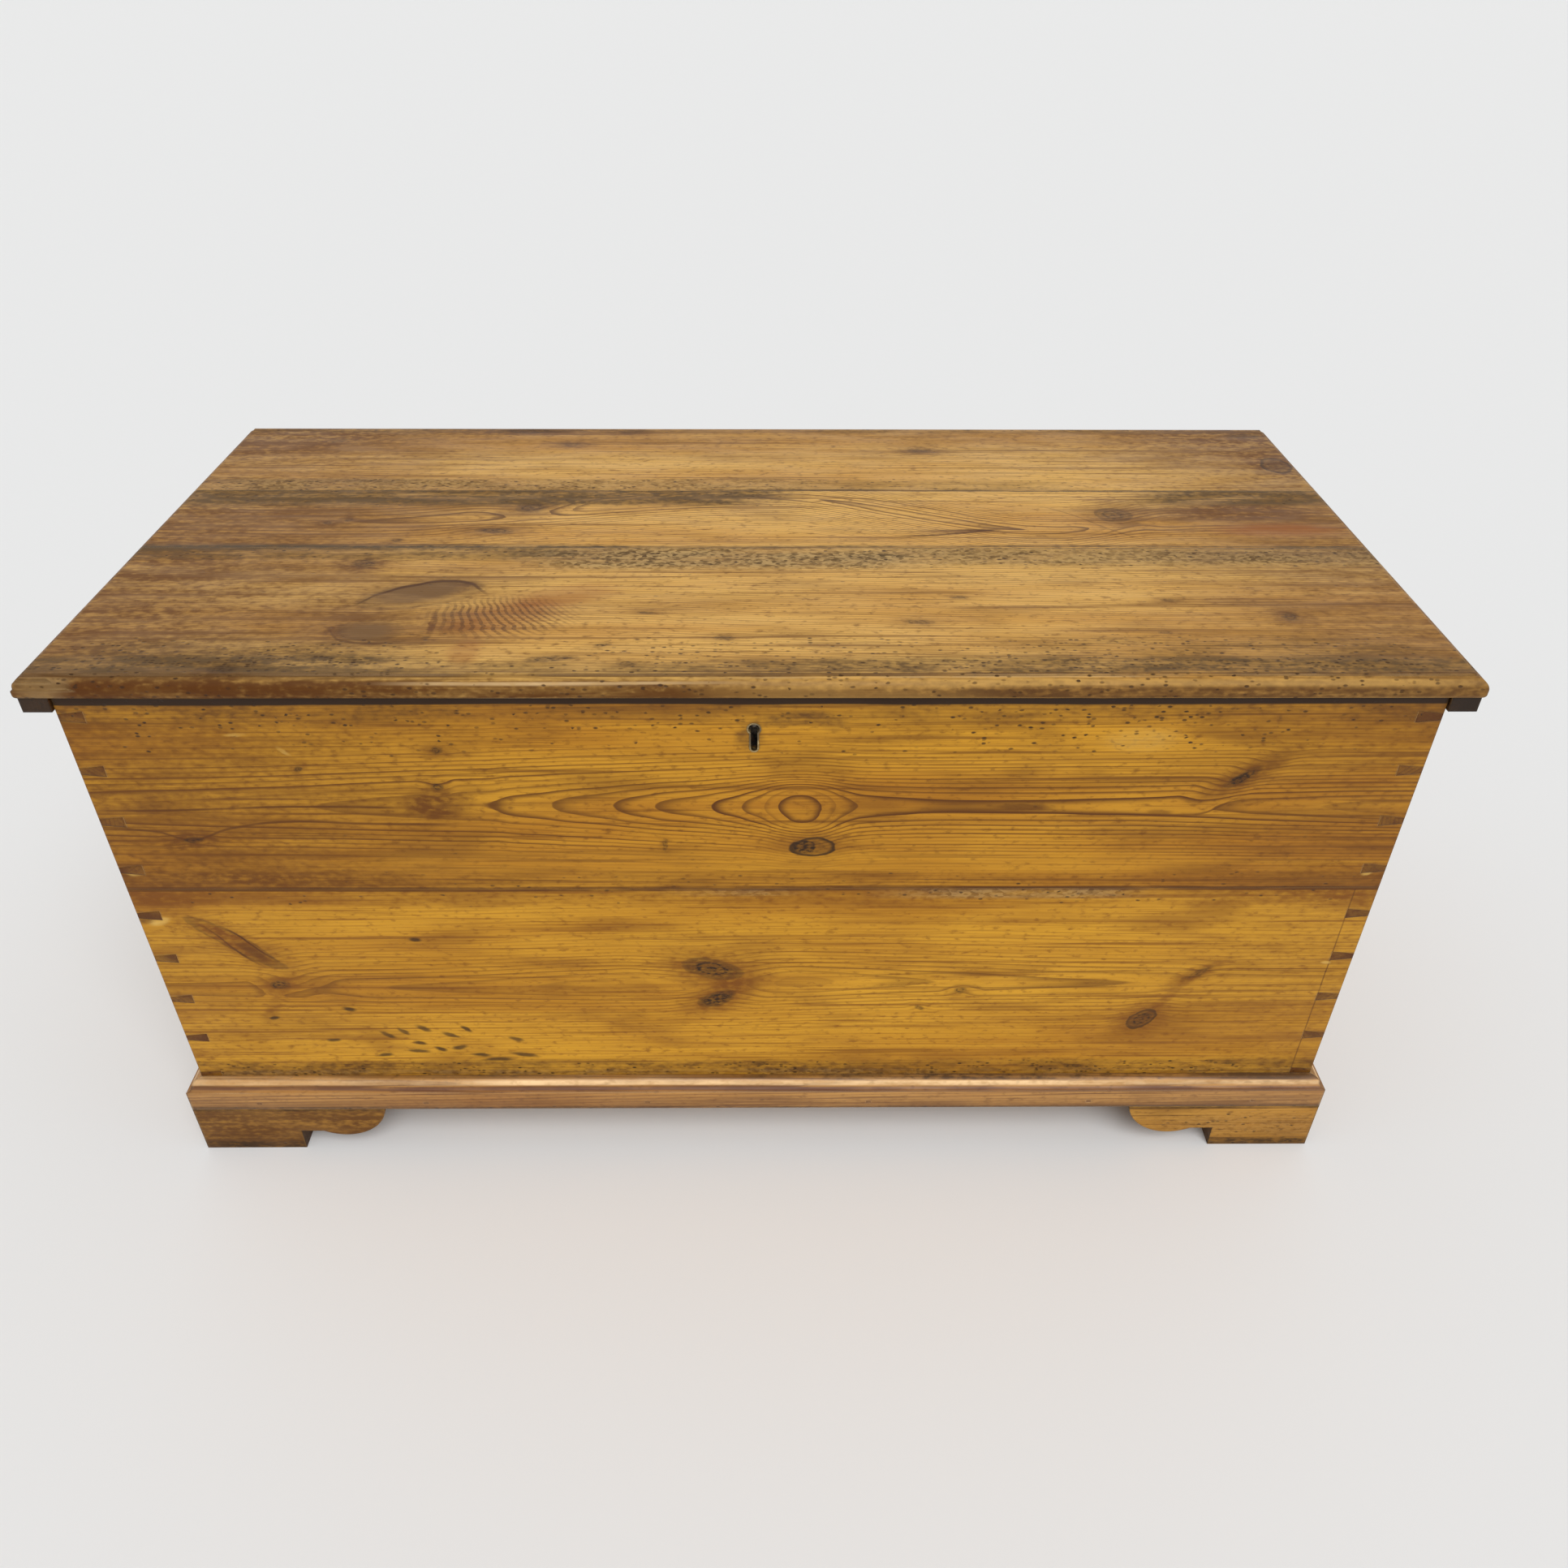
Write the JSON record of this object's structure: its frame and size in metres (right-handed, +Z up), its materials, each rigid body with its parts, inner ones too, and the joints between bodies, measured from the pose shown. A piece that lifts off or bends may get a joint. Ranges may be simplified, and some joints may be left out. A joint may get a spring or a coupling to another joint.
{
  "type": "blanket chest",
  "caption": "Low pine blanket chest: dovetailed board case on a moulded skirt and bracket feet, with a hinged lid of glued boards, a lock and a till inside.",
  "frame": {"origin": "on the floor, under the middle of the chest's bounding box", "axes": "+X along the chest's length to the right, -Y out of its front, +Z up"},
  "size_m": [1.106, 0.5404, 0.532],
  "materials": {
    "case_pine": "worn amber polish",
    "lid_pine": "worn brown polish",
    "skirt_pine": "waxed",
    "bare_pine": "unfinished, aged",
    "hinge_iron": "blackened",
    "lock_iron": "dull, oiled",
    "screw_steel": "tarnished",
    "nail_iron": "rusted",
    "liner_brass": "tarnished"
  },
  "bodies": {
    "carcass": {"back_lower_board": "case_pine", "back_upper_board": "case_pine", "floor_front_board": "bare_pine", "floor_middle_board": "bare_pine", "floor_nails": "nail_iron", "floor_rear_board": "bare_pine", "front_left_foot_block": "bare_pine", "front_left_foot_front": "skirt_pine", "front_left_foot_side": "skirt_pine", "front_lower_board": "case_pine", "front_right_foot_block": "bare_pine", "front_right_foot_front": "skirt_pine", "front_right_foot_side": "skirt_pine", "front_upper_board": "case_pine", "hinge_plate_screws": "screw_steel", "keyhole_liner": "liner_brass", "left_hinge_pin": "hinge_iron", "left_hinge_plate": "hinge_iron", "left_lower_board": "case_pine", "left_upper_board": "case_pine", "lock_case": "lock_iron", "lock_drill_pin": "lock_iron", "lock_plate": "lock_iron", "lock_screws": "screw_steel", "rear_left_foot_back": "bare_pine", "rear_left_foot_block": "bare_pine", "rear_left_foot_side": "skirt_pine", "rear_right_foot_back": "bare_pine", "rear_right_foot_block": "bare_pine", "rear_right_foot_side": "skirt_pine", "right_hinge_pin": "hinge_iron", "right_hinge_plate": "hinge_iron", "right_lower_board": "case_pine", "right_upper_board": "case_pine", "skirt_front": "skirt_pine", "skirt_left": "skirt_pine", "skirt_nails": "nail_iron", "skirt_right": "skirt_pine", "till_bottom": "bare_pine", "till_front": "bare_pine"},
    "lid": {"lid_front_board": "lid_pine", "lid_middle_board": "lid_pine", "lid_rear_board": "lid_pine", "lid_left_batten": "lid_pine", "lid_right_batten": "lid_pine", "left_hinge_strap": "hinge_iron", "right_hinge_strap": "hinge_iron", "hinge_strap_screws": "screw_steel", "striker_plate": "lock_iron", "striker_screws": "screw_steel", "batten_screws": "screw_steel"},
    "lock_bolt": {"lock_bolt": "lock_iron", "lock_spring": "lock_iron"}
  },
  "joints": [
    {"name": "lid_hinge", "type": "hinge", "parent": "carcass", "child": "lid", "pos_m": [0, 0.26575, 0.514], "axis": [-1, 0, 0], "range_deg": [0, 100]},
    {"name": "lock_bolt_slide", "type": "slide", "parent": "carcass", "child": "lock_bolt", "axis": [1, 0, 0], "range_m": [0, 0.008]}
  ]
}
